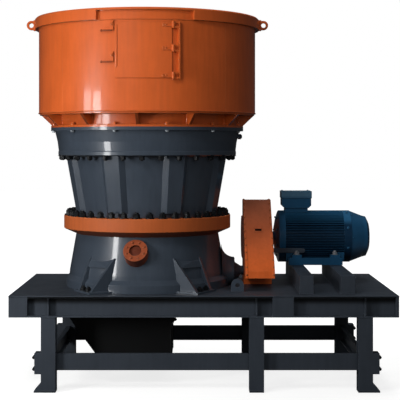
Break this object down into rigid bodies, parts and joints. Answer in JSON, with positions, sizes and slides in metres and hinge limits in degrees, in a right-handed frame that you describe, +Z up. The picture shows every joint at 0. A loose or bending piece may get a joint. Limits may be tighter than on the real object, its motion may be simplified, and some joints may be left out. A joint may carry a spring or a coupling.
{
  "type": "cone crusher",
  "caption": "Stationary cone crusher with a round feed hopper and hinged hatch, standing on a legged steel platform with its V-belt drive guard and electric motor.",
  "frame": {"origin": "on the ground at the bottom centre of the bounding box: midway along the platform and on the line crossing the crusher's axis", "axes": "+X along the platform towards the motor, -Y is the front with the hatch and the belt guard's sloped face, +Z up"},
  "size_m": [4.68, 2.8996, 4.593],
  "materials": {
    "frame_paint": "semi-gloss dark grey paint on welded steel",
    "chute_paint": "black paint on plate",
    "casting_dark": "dark paint on cast steel",
    "casting_grey": "gloss grey paint on cast steel",
    "orange_paint": "gloss orange paint",
    "manganese_steel": "bare cast manganese steel",
    "motor_blue": "gloss blue paint on cast iron"
  },
  "bodies": {
    "crusher": {"front_beam": "frame_paint", "rear_beam": "frame_paint", "cross_beam_left": "frame_paint", "cross_beam_mid": "frame_paint", "end_plate_right": "frame_paint", "crusher_beams": "frame_paint", "deck_plates": "frame_paint", "lifting_lugs": "frame_paint", "leg_front_left": "frame_paint", "leg_front_mid": "frame_paint", "leg_front_right": "frame_paint", "leg_rear_left": "frame_paint", "leg_rear_mid": "frame_paint", "leg_rear_right": "frame_paint", "side_rails": "frame_paint", "end_rails": "frame_paint", "discharge_chute": "chute_paint", "adjustment_cylinder": "casting_dark", "bottom_shell": "casting_grey", "crusher_feet": "casting_grey", "pinion_housing": "casting_grey", "inspection_cover": "orange_paint", "clamping_ring": "orange_paint", "top_shell": "casting_grey", "concave": "manganese_steel", "mantle": "manganese_steel", "spider": "casting_dark", "spider_cap": "casting_dark", "hopper_base": "orange_paint", "hopper_wall_front": "orange_paint", "hopper_wall_left": "orange_paint", "hopper_wall_rear": "orange_paint", "hopper_wall_right": "orange_paint", "hopper_rim": "orange_paint", "lifting_eyes": "orange_paint", "hatch_hinges": "orange_paint", "hatch_clamps": "orange_paint", "belt_guard": "orange_paint", "motor_frame": "motor_blue", "drive_end_shield": "motor_blue", "fan_cowl": "motor_blue", "terminal_box": "motor_blue", "motor_feet": "motor_blue", "stand_beams": "frame_paint"},
    "hatch": {"hatch": "orange_paint"}
  },
  "joints": [
    {"name": "hatch_hinge", "type": "hinge", "parent": "crusher", "child": "hatch", "pos_m": [-0.36051, -1.39931, 4.09], "axis": [0, 0, 1], "range_deg": [0, 110]}
  ]
}
